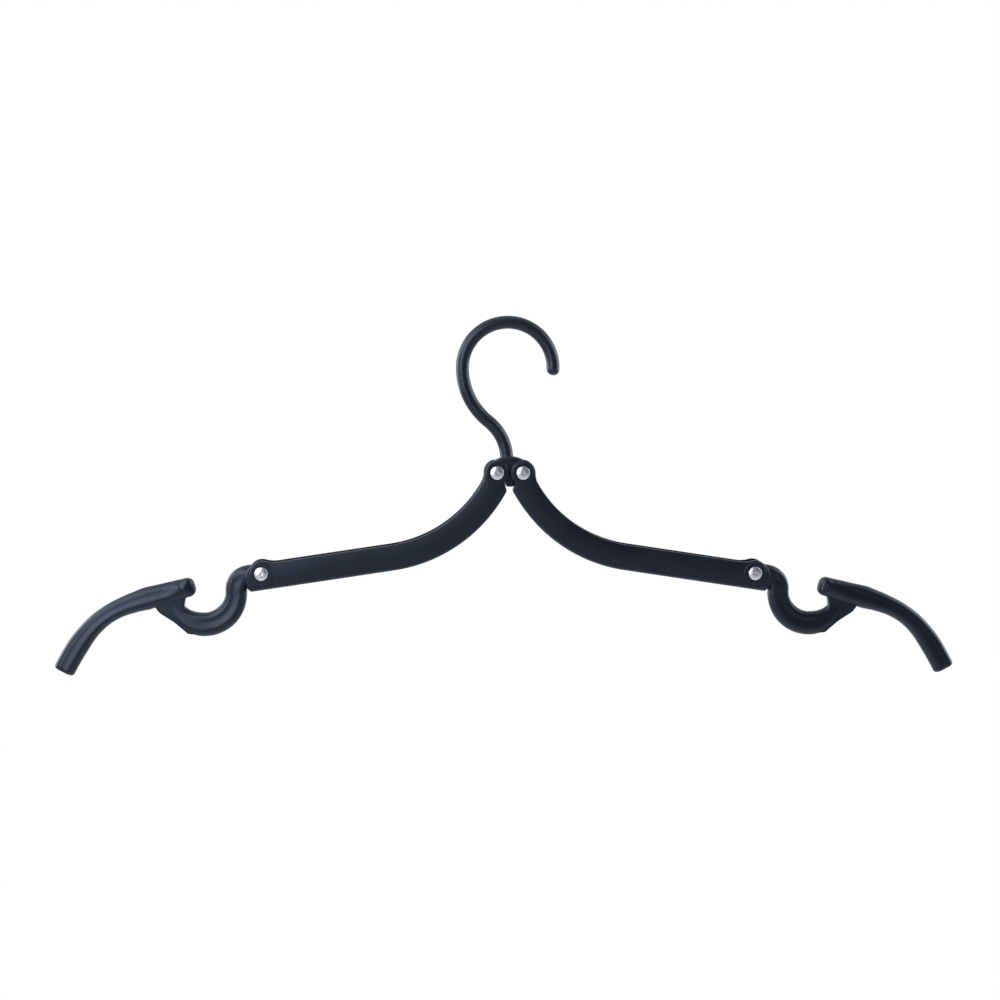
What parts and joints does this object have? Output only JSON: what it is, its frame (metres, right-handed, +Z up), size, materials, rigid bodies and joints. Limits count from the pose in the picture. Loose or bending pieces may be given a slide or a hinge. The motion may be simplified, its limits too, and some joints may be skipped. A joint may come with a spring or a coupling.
{
  "type": "folding travel hanger",
  "caption": "Folding travel hanger: a hook with hinged channel-shaped arms, each ending in a fold-in outer arm with a strap notch and a curved shoulder bar.",
  "frame": {"origin": "rod seat: the top of the inside of the hook's bend, on the plane midway between the arms", "axes": "+X to the right along the arms, on the side where the hook opens; +Z up; the rivets' heads face -Y"},
  "size_m": [0.4034, 0.0132, 0.1604],
  "materials": {
    "moulded_plastic": "satin black with a faint blue cast, fine moulded texture",
    "rivet_metal": "bright, with spun rings on the heads"
  },
  "bodies": {
    "hook": {"hook": "moulded_plastic"},
    "inner_arm_right": {"inner_arm_right": "moulded_plastic", "inner_rivet_right": "rivet_metal", "outer_rivet_right": "rivet_metal"},
    "inner_arm_left": {"inner_arm_left": "moulded_plastic", "inner_rivet_left": "rivet_metal", "outer_rivet_left": "rivet_metal"},
    "outer_arm_right": {"outer_arm_right": "moulded_plastic"},
    "outer_arm_left": {"outer_arm_left": "moulded_plastic"}
  },
  "joints": [
    {"name": "inner_hinge_right", "type": "hinge", "parent": "hook", "child": "inner_arm_right", "pos_m": [0.0058, 0, -0.0639], "axis": [0, -1, 0], "range_deg": [0, 72]},
    {"name": "inner_hinge_left", "type": "hinge", "parent": "hook", "child": "inner_arm_left", "pos_m": [-0.0058, 0, -0.0639], "axis": [0, 1, 0], "range_deg": [0, 72]},
    {"name": "outer_hinge_right", "type": "hinge", "parent": "inner_arm_right", "child": "outer_arm_right", "pos_m": [0.1102, 0, -0.1088], "axis": [0, -1, 0], "range_deg": [0, 180]},
    {"name": "outer_hinge_left", "type": "hinge", "parent": "inner_arm_left", "child": "outer_arm_left", "pos_m": [-0.1102, 0, -0.1088], "axis": [0, 1, 0], "range_deg": [0, 180]}
  ]
}
